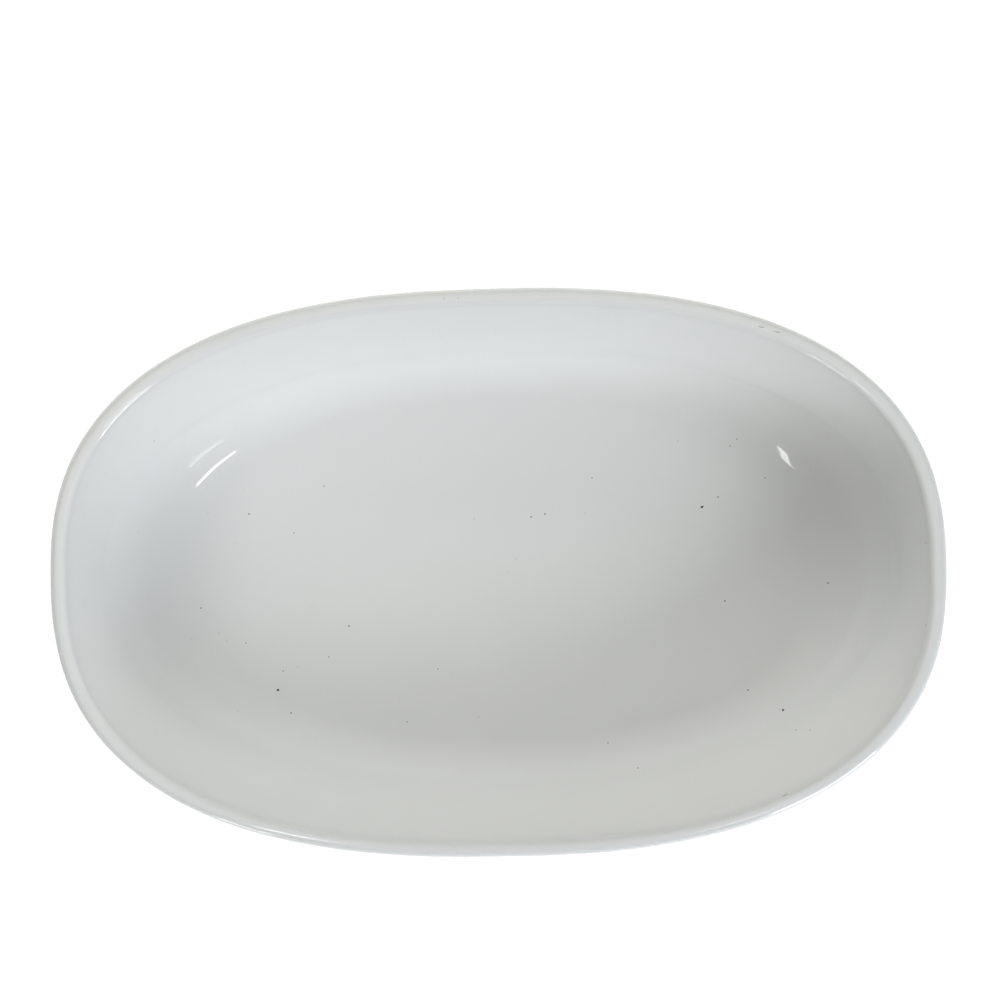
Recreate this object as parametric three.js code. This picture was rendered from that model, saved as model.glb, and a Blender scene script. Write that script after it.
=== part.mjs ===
// Oval casserole dish of glazed ceramic: the fired clay body, the glaze coat fused over its inside,
// rim and outside, and the patch of glaze in the recess under its foot ring.
// Millimetres, +Z up. The origin lies on the table under the middle of the dish, its length along X.

import * as THREE from "three";

const { degToRad, inverseLerp, lerp } = THREE.MathUtils;

// Overall sizes, over the glaze
const LENGTH = 300;
const WIDTH = 190;
const HEIGHT = 70;

// Outlines as powers of a superellipse: 2 is an ellipse, and a higher power is squarer
const RIM_POWER = 2.48;
const BASE_POWER = 2.2;

// Fired clay of wall and floor
const WALL = 5;
const FLOOR = 5.5;

// The wall's lean from upright and the bend between wall and floor, at the long sides and at the ends
const SIDE_LEAN = degToRad(14);
const SIDE_BEND = 16;
const END_LEAN = degToRad(7);
const END_BEND = 28;

// Rim: a tight inner edge and a narrow level crown, and the outer edge rounds off the rest of the wall
const RIM_INNER_EDGE = 1.7;
const RIM_CROWN = 0.6;

// Foot ring: its setback is measured from the line where the underside turns level
const FOOT_HEIGHT = 4;
const FOOT_SETBACK = 2;
const FOOT_STANDING_FACE = 4;
const FOOT_DRAFT = degToRad(12);
const FOOT_ROOT = 1.2;
const FOOT_EDGE = 0.8;

// Glaze, and the bare clay left on the foot above its rounded edge
const GLAZE = 0.35;
const BARE_BAND = 0.5;

// Facets: columns round the oval, and steps in each bend of the section
const COLUMNS = 64;
const FLOOR_BEND_STEPS = 6;
const RIM_INNER_STEPS = 3;
const RIM_OUTER_STEPS = 5;
const BASE_BEND_STEPS = 5;
const FOOT_STEPS = 2;

// Directions of a face in the section, where 0 faces the middle of the dish
const UP = Math.PI / 2;
const OUTWARD = Math.PI;
const DOWN = (3 * Math.PI) / 2;
const INWARD_AGAIN = 2 * Math.PI;

// The section is drawn in (inset, height): inset is the distance in from the rim's outermost line.
// A station of it is a point with the direction that its surface faces.
function facing(angle) {
  return new THREE.Vector2(Math.cos(angle), Math.sin(angle));
}

// An arc of the section between two facing angles. A hollow arc curves round a centre in the open air.
function bend(centre, radius, from, to, steps, hollow = false) {
  const stations = [];
  for (let i = 0; i <= steps; i++) {
    const normal = facing(lerp(from, to, i / steps));
    const point = centre.clone().addScaledVector(normal, hollow ? -radius : radius);
    stations.push({ point, normal });
  }
  return stations;
}

// A station further along the straight stretch that touches the given one
function along(station, direction, distance) {
  return { point: station.point.clone().addScaledVector(direction, distance), normal: station.normal };
}

// A station on the dish's upright axis
function onAxis(height, angle) {
  return { point: new THREE.Vector2(0, height), normal: facing(angle), axis: true };
}

// The whole section of the clay for a wall of a given lean and floor bend, from the middle of the floor
// over the rim and under the foot to the middle of the underside, in three stretches parted by the glaze lines.
function section(lean, floorBend) {
  const wallNormal = facing(lean);
  const clayTop = HEIGHT - GLAZE;

  // The rim's three parts add up to the wall's thickness, measured square to the wall
  const crownAcross = RIM_CROWN * wallNormal.x;
  const innerEdgeAcross = RIM_INNER_EDGE * (1 - wallNormal.y);
  const rimOuterEdge = (WALL - crownAcross - innerEdgeAcross) / (1 + wallNormal.y);
  const innerEdgeCentre = new THREE.Vector2(rimOuterEdge + RIM_CROWN, clayTop - RIM_INNER_EDGE);
  const outerEdgeCentre = new THREE.Vector2(rimOuterEdge, clayTop - rimOuterEdge);

  // Both bends between wall and floor touch their wall face and their level face
  const innerFace = innerEdgeCentre.dot(wallNormal) + RIM_INNER_EDGE;
  const floorTop = FOOT_HEIGHT + FLOOR;
  const floorBendHeight = floorTop + floorBend;
  const floorBendInset = (innerFace + floorBend - floorBendHeight * wallNormal.y) / wallNormal.x;
  const baseBend = floorBend + WALL;
  const baseBendHeight = FOOT_HEIGHT + baseBend;
  const baseBendInset = (innerFace - WALL + baseBend - baseBendHeight * wallNormal.y) / wallNormal.x;

  // The foot's two tapered faces mirror each other about its standing face
  const taper = facing(FOOT_DRAFT);
  const footBends = FOOT_ROOT + FOOT_EDGE;
  const footRun = (taper.y * (FOOT_HEIGHT - footBends) + footBends) / taper.x;
  const outerRootInset = baseBendInset + FOOT_SETBACK;
  const outerTipInset = outerRootInset + footRun;
  const innerTipInset = outerTipInset + FOOT_STANDING_FACE;
  const innerRootInset = innerTipInset + footRun;
  const rootHeight = FOOT_HEIGHT - FOOT_ROOT;
  const footOutside = OUTWARD + FOOT_DRAFT;
  const footInside = INWARD_AGAIN - FOOT_DRAFT;

  const footTip = [
    ...bend(new THREE.Vector2(outerTipInset, FOOT_EDGE), FOOT_EDGE, footOutside, DOWN, FOOT_STEPS),
    ...bend(new THREE.Vector2(innerTipInset, FOOT_EDGE), FOOT_EDGE, DOWN, footInside, FOOT_STEPS),
  ];
  const upOutside = new THREE.Vector2(-taper.y, taper.x);
  const upInside = new THREE.Vector2(taper.y, taper.x);

  const coated = [
    onAxis(floorTop, UP),
    ...bend(new THREE.Vector2(floorBendInset, floorBendHeight), floorBend, UP, lean, FLOOR_BEND_STEPS, true),
    ...bend(innerEdgeCentre, RIM_INNER_EDGE, lean, UP, RIM_INNER_STEPS),
    ...bend(outerEdgeCentre, rimOuterEdge, UP, OUTWARD + lean, RIM_OUTER_STEPS),
    ...bend(new THREE.Vector2(baseBendInset, baseBendHeight), baseBend, OUTWARD + lean, DOWN, BASE_BEND_STEPS),
    ...bend(new THREE.Vector2(outerRootInset, rootHeight), FOOT_ROOT, DOWN, footOutside, FOOT_STEPS, true),
    along(footTip.at(0), upOutside, BARE_BAND),
  ];
  const recess = [
    along(footTip.at(-1), upInside, BARE_BAND),
    ...bend(new THREE.Vector2(innerRootInset, rootHeight), FOOT_ROOT, footInside, DOWN, FOOT_STEPS, true),
    onAxis(FOOT_HEIGHT, DOWN),
  ];
  return { coated, footTip, recess };
}

const sideSection = section(SIDE_LEAN, SIDE_BEND);
const endSection = section(END_LEAN, END_BEND);

// One oval of the surface, grown outwards by a thickness. Its half length comes from the section at the ends
// and its half width from the section at the sides, and its height passes smoothly from one to the other.
function oval(end, side, growth) {
  const endPoint = end.point.clone().addScaledVector(end.normal, growth);
  const sidePoint = side.point.clone().addScaledVector(side.normal, growth);
  if (side.axis) {
    return [new THREE.Vector3(0, 0, sidePoint.y)];
  }
  const halfLength = LENGTH / 2 - GLAZE - endPoint.x;
  const halfWidth = WIDTH / 2 - GLAZE - sidePoint.x;
  const power = lerp(BASE_POWER, RIM_POWER, inverseLerp(0, HEIGHT, side.point.y));
  const points = [];
  for (let i = 0; i < COLUMNS; i++) {
    const turn = (2 * Math.PI * i) / COLUMNS;
    const spoke = new THREE.Vector2(LENGTH * Math.cos(turn), WIDTH * Math.sin(turn)).normalize();
    const spread = Math.abs(spoke.x / halfLength) ** power + Math.abs(spoke.y / halfWidth) ** power;
    const radius = spread ** (-1 / power);
    const height = lerp(sidePoint.y, endPoint.y, Math.cos(turn) ** 2);
    points.push(new THREE.Vector3(spoke.x * radius, spoke.y * radius, height));
  }
  return points;
}

// The ovals of one stretch of the section, numbered in its own order
function ovals(stretch, growth) {
  return sideSection[stretch].map((side, order) => {
    return { order, points: oval(endSection[stretch][order], side, growth) };
  });
}

// The triangles between two neighbouring ovals, as corners [0 or 1 for the oval, column]. Each square is split
// from its lower-numbered oval, so that a skin which comes back over the same ovals has the same facets.
function facets(first, second) {
  const triangles = [];
  for (let column = 0; column < COLUMNS; column++) {
    const next = column + 1;
    const square = [[0, column], [1, column], [1, next], [0, next]];
    const [a, b, c, d] = first.order > second.order ? [...square.slice(1), square[0]] : square;
    triangles.push([a, b, c], [a, c, d]);
  }
  const rings = [first.points, second.points];
  const corner = ([ring, column]) => rings[ring][column % rings[ring].length];
  const hasArea = (triangle) => new Set(triangle.map(corner)).size === triangle.length;
  return triangles.filter(hasArea).map((triangle) => triangle.map(corner));
}

// A closed skin over ovals that start and end in a single point
function closedSkin(rings) {
  const triangles = rings.slice(1).flatMap((ring, i) => facets(rings[i], ring));
  const geometry = new THREE.BufferGeometry().setFromPoints(triangles.flat());
  geometry.computeVertexNormals();
  return geometry;
}

// The clay: every stretch of the section in turn
function bodyGeometry() {
  return closedSkin([...ovals("coated", 0), ...ovals("footTip", 0), ...ovals("recess", 0)]);
}

// The main coat: out over the glaze to the glaze line on the foot, and back along the clay
function coatGeometry() {
  return closedSkin([...ovals("coated", GLAZE), ...ovals("coated", 0).reverse()]);
}

// The patch in the recess: out along the clay to its glaze line, and back over the glaze
function recessGeometry() {
  return closedSkin([...ovals("recess", 0).reverse(), ...ovals("recess", GLAZE)]);
}

function piece(name, geometry, finish) {
  const mesh = new THREE.Mesh(geometry, new THREE.MeshStandardMaterial(finish));
  mesh.name = name;
  return mesh;
}

const FIRED_CLAY = { color: 0xe6dfd2, roughness: 0.9, metalness: 0 };
const WHITE_GLAZE = { color: 0xe8eae8, roughness: 0.08, metalness: 0 };

const dish = new THREE.Group();
dish.name = "casserole_dish";
dish.add(piece("ceramic_body", bodyGeometry(), FIRED_CLAY));
dish.add(piece("glaze_coat", coatGeometry(), WHITE_GLAZE));
dish.add(piece("foot_recess_glaze", recessGeometry(), WHITE_GLAZE));

export default dish;
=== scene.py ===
"""Looks of an oval casserole dish in white glazed ceramic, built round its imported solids.

One section is carried round an oval for every piece, as the dish itself is formed: the fired clay body, the
glaze over it, and the glaze in the recess under its foot. Iron specks and small scuffs then lie in the glaze.
"""

import logging
import math
from dataclasses import dataclass
from enum import Enum
from itertools import pairwise

import bpy
import numpy as np
from mathutils import Euler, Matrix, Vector
from numpy.typing import NDArray


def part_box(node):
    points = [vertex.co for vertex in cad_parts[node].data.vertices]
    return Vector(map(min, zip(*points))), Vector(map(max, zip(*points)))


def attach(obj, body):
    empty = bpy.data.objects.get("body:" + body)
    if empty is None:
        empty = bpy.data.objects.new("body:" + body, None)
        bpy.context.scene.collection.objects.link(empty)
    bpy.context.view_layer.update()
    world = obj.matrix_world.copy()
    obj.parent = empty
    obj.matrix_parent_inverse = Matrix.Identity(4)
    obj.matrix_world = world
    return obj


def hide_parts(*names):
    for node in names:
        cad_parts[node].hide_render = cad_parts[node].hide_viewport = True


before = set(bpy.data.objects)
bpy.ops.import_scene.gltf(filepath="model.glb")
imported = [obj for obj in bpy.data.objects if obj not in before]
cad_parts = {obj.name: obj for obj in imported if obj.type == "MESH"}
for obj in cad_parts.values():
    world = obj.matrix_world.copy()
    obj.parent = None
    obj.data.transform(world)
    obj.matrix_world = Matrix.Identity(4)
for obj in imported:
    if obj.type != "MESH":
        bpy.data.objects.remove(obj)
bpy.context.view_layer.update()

Array = NDArray[np.float64]
Colour = tuple[float, float, float]
log = logging.getLogger("casserole_dish")

MM = 0.001
PHOTO_SIDE = 1000
SENSOR_WIDTH = 36.0
WHITE = (1.0, 1.0, 1.0)
COOL_DAY = (0.9, 0.94, 0.985)
WARM_DAY = (1.0, 0.99, 0.92)

# Directions of a face in the section, where 0 faces the middle of the dish
UP = math.pi / 2
OUTWARD = math.pi
DOWN = 3 * math.pi / 2
INWARD_AGAIN = 2 * math.pi


class Stretch(Enum):
    """Stretches of the section, parted by the two glaze lines on the foot."""

    COATED = "coated"
    FOOT_TIP = "foot tip"
    RECESS = "recess"


class MarkKind(Enum):
    """What a small mark in the glaze is."""

    IRON = "iron_specks"
    SCUFF = "rim_scuffs"


class LampKind(Enum):
    """What a lamp does: lights the dish and shows in its gloss, only lights it, or only shows."""

    SOFT = "soft"
    FILL = "fill"
    GLINT = "glint"


@dataclass(frozen=True)
class Stations:
    """Points along the section, with the direction that the surface faces at each.

    A point is (inset, height), where inset is the distance in from the rim's outermost line.
    """

    points: Array
    normals: Array

    def grown(self, growth: Array) -> Array:
        """Gives the points moved out along their normals, for growths in rows of columns."""
        return self.points[:, None, :] + self.normals[:, None, :] * growth[..., None]

    def at(self, index: int) -> "Stations":
        """Gives one station by itself."""
        return Stations(self.points[[index]], self.normals[[index]])

    def moved(self, step: tuple[float, float]) -> "Stations":
        """Gives the same stations moved by a step in the section."""
        return Stations(self.points + np.asarray(step), self.normals)


def bend(
    centre: tuple[float, float], radius: float, start: float, stop: float, steps: int, hollow: bool = False
) -> Stations:
    """Makes an arc of the section: its centre plus the radius times each facing direction.

    Args:
        centre: The arc's centre, as (inset, height).
        radius: The arc's radius.
        start: The angle that the first station faces, where 0 faces the middle of the dish.
        stop: The angle that the last station faces.
        steps: The count of steps from first to last.
        hollow: Whether the surface lies on the far side of the centre, as in a concave corner.

    Returns:
        The arc's stations.
    """
    angles = np.linspace(start, stop, steps + 1)
    normals = np.column_stack([np.cos(angles), np.sin(angles)])
    return Stations(np.asarray(centre) + (-radius if hollow else radius) * normals, normals)


def axis_station(reach: float, height: float, angle: float) -> Stations:
    """Makes the station on the dish's upright axis, a full reach in from the rim."""
    return Stations(np.array([[reach, height]]), np.array([[0.0, math.sin(angle)]]))


def chain(links: list[tuple[Stations, int]]) -> Stations:
    """Joins stretches of the section by straight runs, which are even steps between their ends.

    Args:
        links: Each stretch, with the count of stations on the straight run after it.

    Returns:
        All stations in order.
    """
    points = []
    normals = []
    for (stretch, count), (following, _) in pairwise(links):
        share = np.linspace(0, 1, count + 2)[1:-1, None]
        points += [stretch.points, (1 - share) * stretch.points[-1] + share * following.points[0]]
        normals += [stretch.normals, (1 - share) * stretch.normals[-1] + share * following.normals[0]]
    last = links[-1][0]
    return Stations(np.vstack([*points, last.points]), np.vstack([*normals, last.normals]))


@dataclass(frozen=True)
class Steps:
    """Counts of steps in each bend and on each straight run of the section, and of columns round the oval."""

    floor: int = 24
    floor_bend: int = 24
    wall: int = 18
    rim_inner: int = 8
    rim_crown: int = 1
    rim_outer: int = 14
    base_bend: int = 22
    foot_setback: int = 1
    foot_root: int = 6
    foot_side: int = 6
    foot_edge: int = 5
    standing_face: int = 5
    recess: int = 20
    columns: int = 240


@dataclass(frozen=True)
class DishForm:
    """Sizes of the dish in metres, and the surface that they make."""

    length: float
    width: float
    height: float
    rim_power: float = 2.48
    base_power: float = 2.2
    wall: float = 5 * MM
    floor: float = 5.5 * MM
    side_lean: float = math.radians(14)
    side_bend: float = 16 * MM
    end_lean: float = math.radians(7)
    end_bend: float = 28 * MM
    rim_inner_edge: float = 1.7 * MM
    rim_crown: float = 0.6 * MM
    foot_height: float = 4 * MM
    foot_setback: float = 2 * MM
    foot_standing_face: float = 4 * MM
    foot_draft: float = math.radians(12)
    foot_root: float = 1.2 * MM
    foot_edge: float = 0.8 * MM
    glaze: float = 0.35 * MM
    bare_band: float = 0.5 * MM
    steps: Steps = Steps()

    def section(self, lean: float, floor_bend: float, reach: float) -> dict[Stretch, Stations]:
        """Draws the clay's section from the middle of the floor over the rim to the middle of the underside.

        The rim's inner edge, crown and outer edge add up to the wall's thickness. The bend under the floor is
        wider than the bend above it by that thickness, so the wall keeps it all the way down.

        Args:
            lean: The wall's lean from upright.
            floor_bend: The radius of the bend between wall and floor.
            reach: The distance from the rim's outermost line of clay to the dish's axis.

        Returns:
            The stations of each stretch.
        """
        across = math.cos(lean)
        rise = math.sin(lean)
        clay_top = self.height - self.glaze
        edge_across = self.rim_inner_edge * (1 - rise)
        rim_outer_edge = (self.wall - self.rim_crown * across - edge_across) / (1 + rise)
        inner_edge = (rim_outer_edge + self.rim_crown, clay_top - self.rim_inner_edge)
        outer_edge = (rim_outer_edge, clay_top - rim_outer_edge)

        inner_face = inner_edge[0] * across + inner_edge[1] * rise + self.rim_inner_edge
        floor_top = self.foot_height + self.floor
        bend_height = floor_top + floor_bend
        bend_inset = (inner_face + floor_bend - bend_height * rise) / across
        base_bend = floor_bend + self.wall
        base_height = self.foot_height + base_bend
        base_inset = (inner_face - self.wall + base_bend - base_height * rise) / across

        taper = math.sin(self.foot_draft)
        plumb = math.cos(self.foot_draft)
        foot_bends = self.foot_root + self.foot_edge
        foot_run = (taper * (self.foot_height - foot_bends) + foot_bends) / plumb
        outer_root = base_inset + self.foot_setback
        outer_tip = outer_root + foot_run
        inner_tip = outer_tip + self.foot_standing_face
        inner_root = inner_tip + foot_run
        root_height = self.foot_height - self.foot_root
        outside = OUTWARD + self.foot_draft
        inside = INWARD_AGAIN - self.foot_draft

        steps = self.steps
        root = self.foot_root
        tip_start = bend((outer_tip, self.foot_edge), self.foot_edge, outside, DOWN, steps.foot_edge)
        tip_end = bend((inner_tip, self.foot_edge), self.foot_edge, DOWN, inside, steps.foot_edge)
        outer_line = tip_start.at(0).moved((-taper * self.bare_band, plumb * self.bare_band))
        inner_line = tip_end.at(-1).moved((taper * self.bare_band, plumb * self.bare_band))
        return {
            Stretch.COATED: chain([
                (axis_station(reach, floor_top, UP), steps.floor),
                (bend((bend_inset, bend_height), floor_bend, UP, lean, steps.floor_bend, True), steps.wall),
                (bend(inner_edge, self.rim_inner_edge, lean, UP, steps.rim_inner), steps.rim_crown),
                (bend(outer_edge, rim_outer_edge, UP, OUTWARD + lean, steps.rim_outer), steps.wall),
                (bend((base_inset, base_height), base_bend, OUTWARD + lean, DOWN, steps.base_bend),
                 steps.foot_setback),
                (bend((outer_root, root_height), root, DOWN, outside, steps.foot_root, True),
                 steps.foot_side),
                (outer_line, 0),
            ]),
            Stretch.FOOT_TIP: chain([(tip_start, steps.standing_face), (tip_end, 0)]),
            Stretch.RECESS: chain([
                (inner_line, steps.foot_side),
                (bend((inner_root, root_height), root, inside, DOWN, steps.foot_root, True), steps.recess),
                (axis_station(reach, self.foot_height, DOWN), 0),
            ]),
        }

    def stretch(self, stretch: Stretch) -> tuple[Stations, Stations]:
        """Gives one stretch of the section at the ends and at the sides, as (ends, sides)."""
        ends = self.section(self.end_lean, self.end_bend, self.length / 2 - self.glaze)
        sides = self.section(self.side_lean, self.side_bend, self.width / 2 - self.glaze)
        return ends[stretch], sides[stretch]

    def surface(self, stretch: Stretch, growth: Array) -> Array:
        """Carries one stretch of the section round the oval.

        A point at turn t lies on the spoke (length cos t, width sin t), where it meets the superellipse
        |x / a|^p + |y / b|^p = 1. The half length a comes from the section at the ends and the half width b
        from the section at the sides, p passes from base power to rim power with height, and the height
        itself passes from side to end by cos^2 t.

        Args:
            stretch: The stretch to carry.
            growth: Thickness over the clay, one row for each station and one or all columns.

        Returns:
            Points as (stations, columns, 3).
        """
        ends, sides = self.stretch(stretch)
        end = ends.grown(growth)
        side = sides.grown(growth)
        turn = np.linspace(0, 2 * np.pi, self.steps.columns, endpoint=False)
        spoke = np.stack([self.length * np.cos(turn), self.width * np.sin(turn)])
        spoke = spoke / np.linalg.norm(spoke, axis=0)
        least = 1e-9
        half_length = np.maximum(self.length / 2 - self.glaze - end[..., 0], least)
        half_width = np.maximum(self.width / 2 - self.glaze - side[..., 0], least)
        share = sides.points[:, 1:] / self.height
        power = self.base_power + (self.rim_power - self.base_power) * share
        spread = (np.abs(spoke[0]) / half_length) ** power + (np.abs(spoke[1]) / half_width) ** power
        radius = spread ** (-1 / power)
        height = side[..., 1] + (end[..., 1] - side[..., 1]) * np.cos(turn) ** 2
        return np.stack([spoke[0] * radius, spoke[1] * radius, height], axis=-1)

    def along(self, stretch: Stretch) -> Array:
        """Gives the distance of each station along the section at the sides, from the stretch's start."""
        steps = np.linalg.norm(np.diff(self.stretch(stretch)[1].points, axis=0), axis=1)
        return np.concatenate([[0.0], np.cumsum(steps)])


def closed_mesh(name: str, skins: Array) -> bpy.types.Object:
    """Makes an object of closed skins over rings of points, the first and last of which are single points.

    Neighbouring rings are joined by squares, and each end ring by a fan of triangles to its one point.

    Args:
        name: The object's name.
        skins: Points as (skins, rings, columns, 3).

    Returns:
        The object, at the origin.
    """
    count, rings, columns = skins.shape[:3]
    each = (rings - 2) * columns + 2
    body = skins[:, 1:-1].reshape(count, -1, 3)
    vertices = np.concatenate([skins[:, 0, :1], body, skins[:, -1, :1]], axis=1).reshape(-1, 3)
    grid = 1 + np.arange((rings - 2) * columns).reshape(rings - 2, columns)
    beside = np.roll(grid, -1, axis=1)
    squares = np.stack([grid[:-1], grid[1:], beside[1:], beside[:-1]], axis=-1).reshape(-1, 4)
    first = np.stack([np.zeros(columns, int), grid[0], beside[0]], axis=-1)
    last = np.stack([grid[-1], np.full(columns, each - 1), beside[-1]], axis=-1)
    offsets = each * np.arange(count)[:, None, None]
    faces = (squares + offsets).reshape(-1, 4).tolist()
    faces += (np.vstack([first, last]) + offsets).reshape(-1, 3).tolist()
    mesh = bpy.data.meshes.new(name)
    mesh.from_pydata(vertices.tolist(), [], faces)
    mesh.polygons.foreach_set("use_smooth", np.ones(len(mesh.polygons), bool))
    mesh.update()
    piece = bpy.data.objects.new(name, mesh)
    bpy.context.scene.collection.objects.link(piece)
    return piece


class Sheet:
    """A shader node tree that is written node by node."""

    def __init__(self, tree: bpy.types.NodeTree) -> None:
        """Starts on an empty tree."""
        self.tree = tree
        tree.nodes.clear()

    def feed(self, socket: bpy.types.NodeSocket, value: object) -> None:
        """Links another node's output to an input, or sets the input to a plain value."""
        if isinstance(value, bpy.types.NodeSocket):
            self.tree.links.new(value, socket)
        else:
            socket.default_value = value

    def add(self, kind: str, settings: dict[str, object] | None = None, **sockets: object) -> bpy.types.Node:
        """Adds a node.

        Args:
            kind: The node's type, without its ShaderNode prefix.
            settings: Values of the node's own properties.
            **sockets: Values or sockets for inputs, named in lower case with _ for a space.

        Returns:
            The node.
        """
        node = self.tree.nodes.new(kind if kind.startswith("NodeGroup") else f"ShaderNode{kind}")
        for key, value in (settings or {}).items():
            setattr(node, key, value)
        enabled = [socket for socket in reversed(node.inputs) if socket.enabled]
        named = {socket.name.lower().replace(" ", "_"): socket for socket in enabled}
        for key, value in sockets.items():
            self.feed(named[key], value)
        return node

    def join(self, kind: str, *inputs: object, **settings: object) -> bpy.types.NodeSocket:
        """Adds a node that joins inputs given in order, such as a sum or a mix, and gives its output."""
        node = self.add(kind, settings)
        for socket, value in zip(node.inputs, inputs):
            self.feed(socket, value)
        return node.outputs[0]

    def mix(self, factor: object, first: object, second: object) -> bpy.types.NodeSocket:
        """Mixes two colours by a factor, and gives the result's socket."""
        node = self.add("Mix", {"data_type": "RGBA"}, factor=factor, a=first, b=second)
        return next(socket for socket in node.outputs if socket.enabled)

    def group(self, tree: bpy.types.NodeTree, **sockets: object) -> bpy.types.NodeSocket:
        """Places a node group with its input values, and gives its output."""
        return self.add("Group", {"node_tree": tree}, **sockets).outputs[0]


def rgba(colour: Colour) -> tuple[float, float, float, float]:
    """Gives a colour as an opaque one."""
    return (*colour, 1.0)


def patches(name: str, output: str, detail: float, roughness: float) -> bpy.types.NodeTree:
    """Makes a node group of soft uneven patches over a piece.

    Args:
        name: The group's name.
        output: The name of its output, which varies about a half.
        detail: How many finer layers the patches have.
        roughness: How strong the finer layers are.

    Returns:
        The group, whose input Size is the width of a patch in metres.
    """
    tree = bpy.data.node_groups.new(name, "ShaderNodeTree")
    tree.interface.new_socket("Size", in_out="INPUT", socket_type="NodeSocketFloat")
    tree.interface.new_socket(output, in_out="OUTPUT", socket_type="NodeSocketFloat")
    sheet = Sheet(tree)
    size = sheet.add("NodeGroupInput").outputs["Size"]
    place = sheet.add("TexCoord").outputs["Object"]
    per_metre = sheet.join("Math", 1.0, size, operation="DIVIDE")
    noise = sheet.add("TexNoise", None, vector=place, scale=per_metre, detail=detail, roughness=roughness)
    tree.links.new(noise.outputs[0], sheet.add("NodeGroupOutput").inputs[output])
    return tree


class Effects:
    """The node groups that the finishes share: cloudy tones from the firing, and the surface's fine grain."""

    def __init__(self) -> None:
        """Makes both groups."""
        self.clouds = patches("fired_clouds", "Cloud", detail=3.0, roughness=0.45)
        self.grain = patches("surface_grain", "Height", detail=2.0, roughness=0.6)


def new_material(name: str) -> tuple[bpy.types.Material, Sheet]:
    """Makes an empty material, and the sheet on which its nodes are written."""
    made = bpy.data.materials.new(name)
    made.use_nodes = True
    return made, Sheet(made.node_tree)


@dataclass(frozen=True)
class GlazeFinish:
    """White glaze: a glassy coat that clouds slightly, greys towards the rim, partly where it runs thin and
    partly as painted shade, and holds fine iron dust.
    """

    white: Colour = (0.74, 0.745, 0.74)
    cloud: Colour = (0.715, 0.725, 0.72)
    # The rim's grey: partly glaze running thin, partly painted shade that dims the rim
    thin_and_shade: Colour = (0.64, 0.65, 0.645)
    cloud_size: float = 38 * MM
    dust: Colour = (0.22, 0.2, 0.18)
    dust_spacing: float = 9 * MM
    dust_radius: float = 0.16 * MM
    smooth: float = 0.02
    dull: float = 0.06
    grain_size: float = 7 * MM
    grain_depth: float = 0.02 * MM
    ior: float = 1.5

    def dusting(self, sheet: Sheet) -> bpy.types.NodeSocket:
        """Adds a mask of fine dust: small soft balls round scattered points, where the surface cuts them."""
        place = sheet.add("TexCoord").outputs["Object"]
        points = sheet.add("TexVoronoi", None, vector=place, scale=1 / self.dust_spacing)
        away = points.outputs["Distance"]
        edge = self.dust_radius / self.dust_spacing
        mask = sheet.add("MapRange", None, value=away, from_min=edge / 2, from_max=edge, to_min=1, to_max=0)
        return mask.outputs[0]

    def material(self, effects: Effects) -> bpy.types.Material:
        """Makes the material, which reads its piece's attribute for the rim's grey of thin glaze and painted
        shade.
        """
        made, sheet = new_material("white_glaze")
        cloud = sheet.group(effects.clouds, size=self.cloud_size)
        tone = sheet.mix(cloud, rgba(self.white), rgba(self.cloud))
        thin_and_shade = sheet.add("Attribute", {"attribute_name": "thin_and_shade"}).outputs["Fac"]
        # Greys the rim: partly thin glaze, partly painted shade
        tone = sheet.mix(thin_and_shade, tone, rgba(self.thin_and_shade))
        tone = sheet.mix(self.dusting(sheet), tone, rgba(self.dust))
        gloss = sheet.add("MapRange", None, value=cloud, to_min=self.smooth, to_max=self.dull).outputs[0]
        height = sheet.group(effects.grain, size=self.grain_size)
        bump = sheet.add("Bump", None, height=height, distance=self.grain_depth, strength=1.0).outputs[0]
        shader = sheet.add(
            "BsdfPrincipled", None, base_color=tone, roughness=gloss, ior=self.ior, normal=bump
        )
        sheet.add("OutputMaterial", None, surface=shader.outputs[0])
        return made


@dataclass(frozen=True)
class ClayFinish:
    """Bare fired clay of the foot: matt and slightly gritty, with grey rubbed in where it stands."""

    clay: Colour = (0.66, 0.6, 0.5)
    cloud: Colour = (0.55, 0.49, 0.4)
    rubbed: Colour = (0.36, 0.35, 0.33)
    cloud_size: float = 16 * MM
    rub_size: float = 3 * MM
    rub_starts: float = 0.58
    rub_full: float = 0.72
    rub_most: float = 0.6
    roughness: float = 0.85
    grain_size: float = 0.6 * MM
    grain_depth: float = 0.08 * MM

    def material(self, effects: Effects) -> bpy.types.Material:
        """Makes the material."""
        made, sheet = new_material("fired_clay")
        cloud = sheet.group(effects.clouds, size=self.cloud_size)
        tone = sheet.mix(cloud, rgba(self.clay), rgba(self.cloud))
        spots = sheet.group(effects.clouds, size=self.rub_size)
        rub = sheet.add(
            "MapRange",
            None,
            value=spots,
            from_min=self.rub_starts,
            from_max=self.rub_full,
            to_max=self.rub_most,
        )
        tone = sheet.mix(rub.outputs[0], tone, rgba(self.rubbed))
        height = sheet.group(effects.grain, size=self.grain_size)
        bump = sheet.add("Bump", None, height=height, distance=self.grain_depth, strength=1.0).outputs[0]
        shader = sheet.add("BsdfPrincipled", None, base_color=tone, roughness=self.roughness, normal=bump)
        sheet.add("OutputMaterial", None, surface=shader.outputs[0])
        return made


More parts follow.
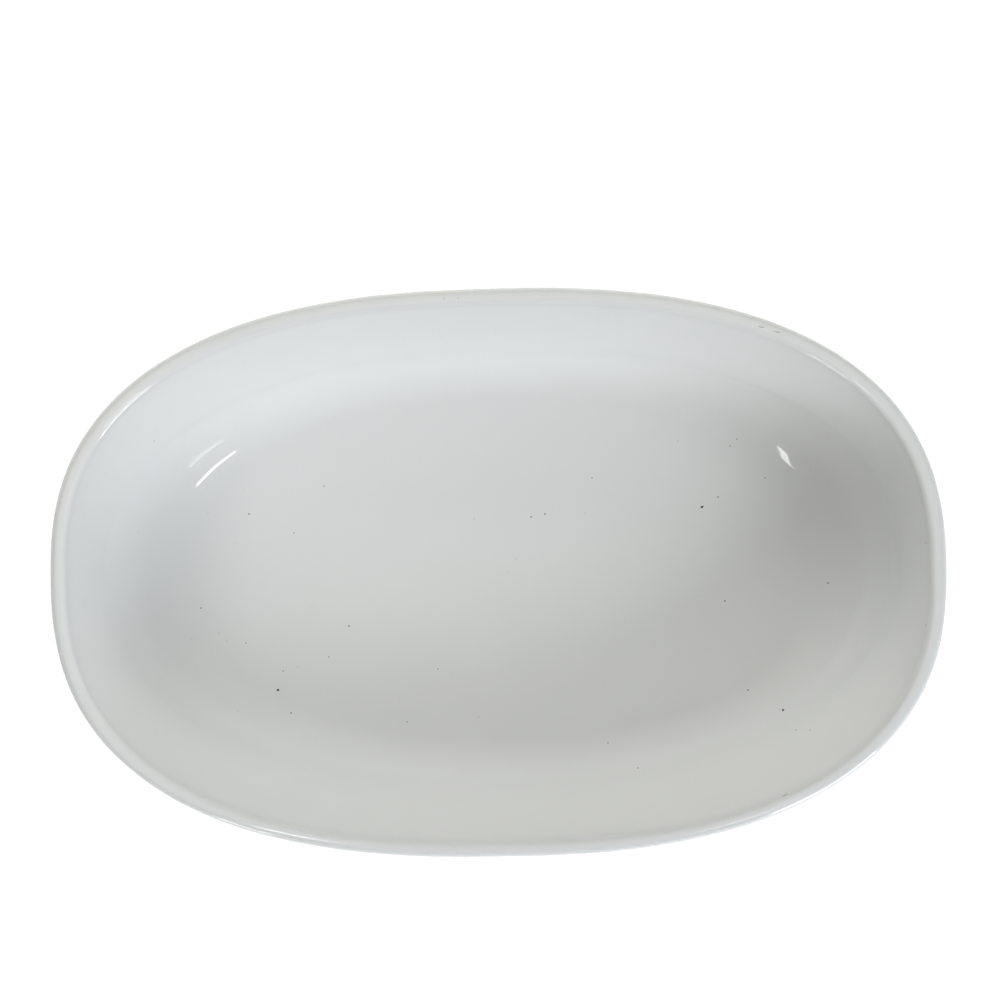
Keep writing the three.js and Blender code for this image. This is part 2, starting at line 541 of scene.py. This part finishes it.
@dataclass(frozen=True)
class MarkFinish:
    """A small mark under the glaze's shine, uneven within itself."""

    name: str
    dark: Colour
    pale: Colour
    cloud_size: float = 0.5 * MM
    roughness: float = 0.2

    def material(self, effects: Effects) -> bpy.types.Material:
        """Makes the material."""
        made, sheet = new_material(self.name)
        cloud = sheet.group(effects.clouds, size=self.cloud_size)
        tone = sheet.mix(cloud, rgba(self.dark), rgba(self.pale))
        shader = sheet.add("BsdfPrincipled", None, base_color=tone, roughness=self.roughness)
        sheet.add("OutputMaterial", None, surface=shader.outputs[0])
        return made


IRON = MarkFinish("black_iron", dark=(0.012, 0.009, 0.007), pale=(0.05, 0.035, 0.025))
SCUFF = MarkFinish("grey_scuff", dark=(0.3, 0.29, 0.27), pale=(0.45, 0.44, 0.42))


def dress(
    piece: bpy.types.Object, material: bpy.types.Material, replaced: str | None
) -> None:
    """Gives a piece its material and its place in the frame.

    Args:
        piece: The piece.
        material: Its material.
        replaced: The solid's node that it stands for, if any.
    """
    piece.data.materials.append(material)
    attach(piece, "root")
    if replaced:
        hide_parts(replaced)
    log.info("%s: %d faces", piece.name, len(piece.data.polygons))


@dataclass
class ClayBody:
    """The fired clay dish, which shows only on its foot."""

    form: DishForm

    def build(self) -> bpy.types.Object:
        """Makes the clay's closed skin, all stretches of the section in turn."""
        still = np.zeros((1, 1))
        rings = [self.form.surface(stretch, still) for stretch in Stretch]
        return closed_mesh("fired_clay_body", np.concatenate(rings)[None])

    def dress(self, piece: bpy.types.Object, finish: ClayFinish, effects: Effects) -> None:
        """Dresses the clay in its finish."""
        dress(piece, finish.material(effects), "ceramic_body")


@dataclass
class GlazeCoat:
    """A coat of glaze over one stretch of the clay, drawn in to a rounded edge at its glaze line."""

    form: DishForm
    stretch: Stretch
    name: str
    node: str
    edge_width: float = 0.7 * MM
    wave_height: float = 0.09 * MM
    wave_length: float = 62 * MM
    # How strongly and how far down the rim greys, from thin glaze and painted shade
    thin_and_shade_most: float = 0.8
    thin_and_shade_reach: float = 3 * MM

    def thickness(self) -> Array:
        """Gives the coat's thickness at each station: a quarter ellipse up to full over the edge's width."""
        along = self.form.along(self.stretch)
        to_line = along[-1] - along if self.stretch is Stretch.COATED else along
        share = 1 - np.clip(to_line / self.edge_width, 0, 1)
        return self.form.glaze * np.sqrt(1 - share**2)[:, None]

    def waves(self, points: Array) -> Array:
        """Gives the slow unevenness of a dipped coat: three crossed sine waves of falling length."""
        x, y, z = np.moveaxis(points * (2 * np.pi / self.wave_length), -1, 0)
        slow = np.sin(x + 0.6 * y + 0.4) * np.cos(0.8 * y - 0.5 * z + 1.1)
        middle = np.sin(1.9 * y - 0.7 * x + 2.0) * np.cos(1.4 * z + 0.8 * x)
        quick = np.sin(3.1 * x + 2.3 * z + 0.9) * np.cos(2.7 * y + 1.7)
        return self.wave_height * (0.55 * slow + 0.3 * middle + 0.15 * quick)

    def skin(self) -> Array:
        """Works out the coat's outer surface, with its waves scaled to its thickness."""
        thickness = self.thickness()
        even = self.form.surface(self.stretch, thickness)
        return self.form.surface(self.stretch, thickness * (1 + self.waves(even) / self.form.glaze))

    def build(self) -> bpy.types.Object:
        """Makes the coat's closed skin: over the glaze and back along the clay, meeting at the glaze line."""
        outer = self.skin()
        inner = self.form.surface(self.stretch, np.zeros((1, 1)))
        if self.stretch is Stretch.COATED:
            rings = np.concatenate([outer, inner[-2::-1]])
        else:
            rings = np.concatenate([inner[::-1], outer[1:]])
        piece = closed_mesh(self.name, rings[None])
        self.mark_thin_and_shade(piece)
        return piece

    def mark_thin_and_shade(self, piece: bpy.types.Object) -> None:
        """Writes the attribute that greys the rim, by depth below its top: partly glaze drawn off the rim,
        partly painted shade.
        """
        places = np.empty(len(piece.data.vertices) * 3)
        piece.data.vertices.foreach_get("co", places)
        below = self.form.height - places[2::3]
        thin_and_shade = self.thin_and_shade_most * np.exp(-((below / self.thin_and_shade_reach) ** 2))
        attribute = piece.data.attributes.new("thin_and_shade", "FLOAT", "POINT")
        attribute.data.foreach_set("value", thin_and_shade.astype(np.float32))

    def dress(self, piece: bpy.types.Object, material: bpy.types.Material) -> None:
        """Dresses the coat in the glaze."""
        dress(piece, material, self.node)


@dataclass(frozen=True)
class PhotoCamera:
    """The camera at the photograph's angle: place in metres, turns in radians, focal length in pixels."""

    place: tuple[float, float, float] = (29.4 * MM, 20.2 * MM, 670.2 * MM)
    turn: tuple[float, float, float] = (math.radians(0.318), math.radians(2.545), math.radians(-1.273))
    focal: float = 1804.0

    def build(self) -> None:
        """Makes the camera and sets it as the scene's."""
        data = bpy.data.cameras.new("photo_camera")
        data.sensor_width = SENSOR_WIDTH
        data.lens = self.focal * SENSOR_WIDTH / PHOTO_SIDE
        camera = bpy.data.objects.new("photo_camera", data)
        camera.location = self.place
        camera.rotation_euler = self.turn
        bpy.context.scene.collection.objects.link(camera)
        bpy.context.scene.camera = camera

    def ray(self, column: float, row: float) -> Vector:
        """Gives the direction in which the camera sees a pixel of the photograph."""
        middle = PHOTO_SIDE / 2
        ray = Vector(((column - middle) / self.focal, (middle - row) / self.focal, -1.0))
        ray.rotate(Euler(self.turn))
        return ray.normalized()


class MarkSize(Enum):
    """The width and length of a mark, in millimetres."""

    LARGE_SPECK = (0.7, 1.2)
    MIDDLE_SPECK = (0.5, 0.6)
    SMALL_SPECK = (0.4, 0.46)
    FAINT_SPECK = (0.22, 0.28)
    SCUFF = (0.28, 2.6)


@dataclass(frozen=True)
class Mark:
    """A mark at a pixel of the photograph: its size, and its turn in degrees."""

    column: int
    row: int
    size: MarkSize
    turn: float = 0.0


def level_marks(size: MarkSize, *pixels: tuple[int, int]) -> tuple[Mark, ...]:
    """Gives marks of one size, all level, at pixels of the photograph."""
    return tuple(Mark(column, row, size) for column, row in pixels)


IRON_SEEN = (
    Mark(783, 710, MarkSize.LARGE_SPECK, 90),
    Mark(702, 507, MarkSize.LARGE_SPECK),
    Mark(278, 690, MarkSize.LARGE_SPECK, 160),
    *level_marks(
        MarkSize.MIDDLE_SPECK,
        (796, 730), (748, 690), (725, 601), (718, 497), (638, 768), (545, 514), (531, 517),
        (828, 583), (926, 543), (926, 625), (349, 626), (291, 713), (249, 514), (201, 608),
    ),
    *level_marks(
        MarkSize.SMALL_SPECK,
        (283, 671), (329, 657), (407, 722), (438, 669), (246, 643), (154, 441), (294, 533),
        (324, 486), (592, 478), (608, 743), (765, 478), (730, 446), (737, 439), (810, 730),
    ),
    *level_marks(
        MarkSize.FAINT_SPECK,
        (208, 513), (235, 544), (219, 633), (227, 641), (238, 711), (298, 667),
        (444, 299), (458, 298), (474, 519), (479, 717), (678, 441),
    ),
)

SCUFFS_SEEN = (
    Mark(777, 332, MarkSize.SCUFF, 170),
    Mark(761, 327, MarkSize.SCUFF, 170),
    Mark(785, 795, MarkSize.SCUFF, 25),
)


@dataclass(frozen=True)
class Seats:
    """Where marks lie on the glaze: their places and normals, half widths and half lengths, and turns."""

    places: Array
    normals: Array
    halves: Array
    turns: Array

    def and_more(self, more: "Seats") -> "Seats":
        """Gives these seats followed by more."""
        pairs = zip(vars(self).values(), vars(more).values())
        return Seats(*(np.concatenate(pair) for pair in pairs))


def seen_seats(marks: tuple[Mark, ...], camera: PhotoCamera, coat: bpy.types.Object) -> Seats:
    """Finds the seats of marks that the photograph shows: where the camera's rays meet the glaze.

    Args:
        marks: The marks.
        camera: The camera that sees them.
        coat: The glaze that carries them.

    Returns:
        Their seats.
    """
    bpy.context.view_layer.update()
    hits = [coat.ray_cast(Vector(camera.place), camera.ray(mark.column, mark.row)) for mark in marks]
    places = np.array([hit[1] for hit in hits])
    normals = np.array([hit[2] for hit in hits])
    halves = np.array([mark.size.value for mark in marks]) * MM / 2
    return Seats(places, normals, halves, np.radians([mark.turn for mark in marks]))


@dataclass(frozen=True)
class OutsideSpecks:
    """Iron specks on the sides that the photograph doesn't show, strewn evenly with a fixed seed."""

    count: int = 34
    least: float = 0.3 * MM
    most: float = 1.0 * MM
    small_share: float = 3.0
    slimmest: float = 0.6
    seed: int = 11

    def seats(self, rings: Array) -> Seats:
        """Draws the specks' seats: points of the surface, as likely as the area round each of them.

        The surface's normal and area at a point are the cross product of its steps along the section and
        round the oval. Sizes lie between least and most as a power of an even draw, so small ones abound.

        Args:
            rings: The outside of the glaze, as (stations, columns, 3).

        Returns:
            The seats.
        """
        draw = np.random.default_rng(self.seed)
        step_along = np.gradient(rings, axis=0)
        step_round = (np.roll(rings, -1, axis=1) - np.roll(rings, 1, axis=1)) / 2
        normals = np.cross(step_along, step_round).reshape(-1, 3)
        areas = np.linalg.norm(normals, axis=1)
        chosen = draw.choice(len(areas), self.count, replace=False, p=areas / areas.sum())
        sizes = self.least + (self.most - self.least) * draw.random(self.count) ** self.small_share
        widths = sizes * draw.uniform(self.slimmest, 1.0, self.count)
        halves = np.column_stack([widths, sizes]) / 2
        turns = draw.uniform(0, np.pi, self.count)
        return Seats(rings.reshape(-1, 3)[chosen], normals[chosen] / areas[chosen, None], halves, turns)


@dataclass
class GlazeMarks:
    """Small flat lenses of one kind that lie in the glaze.

    The rings of a lens are given by their share of its outline, and their height by how proud it is.
    """

    kind: MarkKind
    finish: MarkFinish
    proud: float = 0.02 * MM
    spokes: int = 12
    rings: tuple[tuple[float, float], ...] = ((0, 1), (0.5, 0.8), (0.85, 0.35), (1, 0), (0.6, -2), (0, -3))
    seed: int = 7

    def build(self, seats: Seats) -> bpy.types.Object:
        """Makes all lenses: discs of uneven outline, domed a little above and sunk below their seats.

        An outline at angle t is 1 + 0.2 sin(2t + a) + 0.12 sin(3t + b) times the lens's half width and half
        length, and its height falls from the middle to nothing at that outline.

        Args:
            seats: Where the marks lie.

        Returns:
            One object with all of them.
        """
        count = len(seats.places)
        uneven = np.random.default_rng(self.seed).uniform(0, 2 * np.pi, (2, count, 1))
        angle = np.linspace(0, 2 * np.pi, self.spokes, endpoint=False)[None]
        outline = 1 + 0.2 * np.sin(2 * angle + uneven[0]) + 0.12 * np.sin(3 * angle + uneven[1])
        along = seats.halves[:, 1:] * np.cos(angle) * outline
        across = seats.halves[:, :1] * np.sin(angle) * outline
        turn = seats.turns[:, None]
        x = along * np.cos(turn) - across * np.sin(turn)
        y = along * np.sin(turn) + across * np.cos(turn)

        level = np.array([[1.0, 0.0, 0.0]])
        right = level - seats.normals * (seats.normals @ level.T)
        right = right / np.linalg.norm(right, axis=1, keepdims=True)
        up = np.cross(seats.normals, right)
        flat = x[..., None] * right[:, None] + y[..., None] * up[:, None]
        share, lift = np.array(self.rings).T[:, None, :, None, None]
        raised = seats.places[:, None, None] + lift * self.proud * seats.normals[:, None, None]
        return closed_mesh(self.kind.value, raised + share * flat[:, None])

    def dress(self, piece: bpy.types.Object, effects: Effects) -> None:
        """Dresses the marks in their finish."""
        dress(piece, self.finish.material(effects), None)


@dataclass(frozen=True)
class Lamp:
    """A soft rectangular lamp that faces the dish, placed by its direction from it in degrees."""

    name: str
    kind: LampKind
    azimuth: float
    elevation: float
    distance: float
    width: float
    height: float
    colour: Colour
    power: float

    def build(self, target: Vector) -> None:
        """Makes the lamp, facing a target."""
        data = bpy.data.lights.new(self.name, "AREA")
        data.shape = "RECTANGLE"
        data.size = self.width
        data.size_y = self.height
        data.color = self.colour
        data.energy = self.power
        lamp = bpy.data.objects.new(self.name, data)
        lamp.visible_camera = False
        lamp.visible_diffuse = self.kind is not LampKind.GLINT
        lamp.visible_glossy = self.kind is not LampKind.FILL
        turn = math.radians(self.azimuth)
        lift = math.radians(self.elevation)
        out = Vector((math.cos(turn) * math.cos(lift), math.sin(turn) * math.cos(lift), math.sin(lift)))
        lamp.location = target + out * self.distance
        lamp.rotation_mode = "QUATERNION"
        lamp.rotation_quaternion = out.to_track_quat("Z", "Y")
        bpy.context.scene.collection.objects.link(lamp)


# Two windows give the glints, and the soft and fill lamps give the shading
LAMPS = (
    Lamp("right_pane", LampKind.GLINT, -64, 59.5, 1.6, 0.26, 0.13, WHITE, 1.2),
    Lamp("right_slat", LampKind.GLINT, -60, 25, 1.6, 0.3, 0.03, WHITE, 0.25),
    Lamp("right_lower_slat", LampKind.GLINT, -60, 21.5, 1.6, 0.3, 0.03, WHITE, 0.3),
    Lamp("right_sill", LampKind.GLINT, -55, 6, 1.6, 0.6, 0.25, WHITE, 11),
    Lamp("left_pane", LampKind.GLINT, -121, 62, 1.6, 0.08, 0.42, WHITE, 1.0),
    Lamp("left_sill", LampKind.GLINT, -117, 6, 1.6, 0.25, 0.25, WHITE, 2.5),
    Lamp("sky_back", LampKind.SOFT, 90, 50, 2.0, 3.2, 1.5, WARM_DAY, 2.2),
    Lamp("day_fill", LampKind.FILL, -52, 30, 1.6, 0.9, 0.6, COOL_DAY, 16),
    Lamp("back_fill", LampKind.FILL, 98, 28, 2.0, 1.3, 1.0, WARM_DAY, 8.5),
    Lamp("far_fill", LampKind.FILL, 90, 40, 0.8, 0.4, 0.4, WHITE, 0.8),
    Lamp("far_low_fill", LampKind.FILL, 90, 25, 0.45, 0.2, 0.2, WARM_DAY, 0.25),
    Lamp("far_right_fill", LampKind.FILL, 30, 55, 0.5, 0.2, 0.2, WARM_DAY, 0.2),
    Lamp("far_left_fill", LampKind.FILL, 150, 55, 0.45, 0.2, 0.2, WARM_DAY, 0.1),
    Lamp("front_fill", LampKind.FILL, -90, 24, 2.0, 1.0, 0.8, WHITE, 5.5),
    Lamp("right_fill", LampKind.FILL, -6, 40, 2.0, 1.2, 1.3, COOL_DAY, 5),
    Lamp("left_fill", LampKind.FILL, 222, 45, 2.0, 1.0, 0.8, WARM_DAY, 4.2),
    Lamp("left_near_fill", LampKind.FILL, 180, 50, 0.5, 0.2, 0.2, WHITE, 0.45),
)


@dataclass
class Studio:
    """Plain pale floor, soft lamps, and a surround that is white at the horizon and pale grey overhead."""

    lamps: tuple[Lamp, ...] = LAMPS
    floor_side: float = 2.0
    floor_white: Colour = (0.8, 0.8, 0.8)
    floor_lift: float = 0.25
    ambient: Colour = (0.06, 0.06, 0.06)
    overhead: Colour = (0.15, 0.15, 0.15)
    backdrop: Colour = (0.6, 0.6, 0.6)
    overhead_starts: float = math.radians(25)
    seen_floor: Colour = (0.2, 0.2, 0.2)
    seen_glow: float = 0.86

    def build_world(self) -> None:
        """Makes the surround: even soft light, which is seen as white at the horizon and grey overhead."""
        world = bpy.data.worlds.new("surround")
        world.use_nodes = True
        bpy.context.scene.world = world
        sheet = Sheet(world.node_tree)
        towards = sheet.add("SeparateXYZ", None, vector=sheet.add("TexCoord").outputs["Object"])
        raised = sheet.add(
            "MapRange",
            {"interpolation_type": "SMOOTHSTEP"},
            value=towards.outputs["Z"],
            from_max=math.sin(self.overhead_starts),
        )
        looking = sheet.add("LightPath").outputs["Is Camera Ray"]
        above = sheet.mix(looking, rgba(self.overhead), rgba(self.backdrop))
        colour = sheet.mix(raised.outputs[0], rgba(WHITE), above)
        seen = sheet.add("Background", None, color=colour).outputs[0]
        light = sheet.add("Background", None, color=rgba(self.ambient)).outputs[0]
        mixed = sheet.join("MixShader", self.seen_directly(sheet), light, seen)
        sheet.add("OutputWorld", None, surface=mixed)

    def seen_directly(self, sheet: Sheet) -> bpy.types.NodeSocket:
        """Adds nodes that give 1 on camera, glossy and transmission rays, and the socket that holds it."""
        path = sheet.add("LightPath").outputs
        either = sheet.join("Math", path["Is Camera Ray"], path["Is Glossy Ray"], operation="MAXIMUM")
        return sheet.join("Math", either, path["Is Transmission Ray"], operation="MAXIMUM")

    def floor_material(self) -> bpy.types.Material:
        """Makes the floor's material: white with a soft shadow where it is seen, and clear from below."""
        made, sheet = new_material("pale_floor")
        white = sheet.add("BsdfDiffuse", None, color=rgba(self.floor_white)).outputs[0]
        lift = sheet.add("Emission", None, strength=self.floor_lift).outputs[0]
        shade = sheet.add("BsdfDiffuse", None, color=rgba(self.seen_floor)).outputs[0]
        glow = sheet.add("Emission", None, strength=self.seen_glow).outputs[0]
        lit = sheet.join("AddShader", white, lift)
        seen = sheet.join("AddShader", shade, glow)
        floor = sheet.join("MixShader", self.seen_directly(sheet), lit, seen)
        clear = sheet.add("BsdfTransparent").outputs[0]
        under = sheet.add("NewGeometry").outputs["Backfacing"]
        sheet.add("OutputMaterial", None, surface=sheet.join("MixShader", under, floor, clear))
        return made

    def build_floor(self) -> None:
        """Makes the floor, a level square under the dish."""
        half = self.floor_side / 2
        corners = [(-half, -half, 0.0), (half, -half, 0.0), (half, half, 0.0), (-half, half, 0.0)]
        mesh = bpy.data.meshes.new("floor")
        mesh.from_pydata(corners, [], [(0, 1, 2, 3)])
        floor = bpy.data.objects.new("floor", mesh)
        floor.data.materials.append(self.floor_material())
        bpy.context.scene.collection.objects.link(floor)

    def build(self, target: Vector) -> None:
        """Makes the world, the floor and the lamps, which face a target."""
        bpy.context.scene.view_settings.view_transform = "Standard"
        self.build_world()
        self.build_floor()
        for lamp in self.lamps:
            lamp.build(target)


def main() -> None:
    """Builds the studio, the clay, the glaze and its marks, in that order."""
    logging.basicConfig(level=logging.INFO, format="%(name)s: %(message)s")
    low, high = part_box("glaze_coat")
    form = DishForm(length=high.x - low.x, width=high.y - low.y, height=high.z)
    camera = PhotoCamera()
    camera.build()
    Studio().build(Vector((0, 0, form.height / 2)))
    effects = Effects()

    clay = ClayBody(form)
    clay.dress(clay.build(), ClayFinish(), effects)
    glaze = GlazeFinish().material(effects)
    coat = GlazeCoat(form, Stretch.COATED, "white_glaze_coat", "glaze_coat")
    coat_piece = coat.build()
    coat.dress(coat_piece, glaze)
    recess = GlazeCoat(form, Stretch.RECESS, "recess_glaze", "foot_recess_glaze")
    recess.dress(recess.build(), glaze)

    steps = form.steps
    outside = coat.skin()[-(steps.wall + steps.base_bend + steps.foot_root):]
    iron = GlazeMarks(MarkKind.IRON, IRON)
    iron_seats = seen_seats(IRON_SEEN, camera, coat_piece).and_more(OutsideSpecks().seats(outside))
    iron.dress(iron.build(iron_seats), effects)
    scuffs = GlazeMarks(MarkKind.SCUFF, SCUFF)
    scuffs.dress(scuffs.build(seen_seats(SCUFFS_SEEN, camera, coat_piece)), effects)


if __name__ == "__main__":
    main()
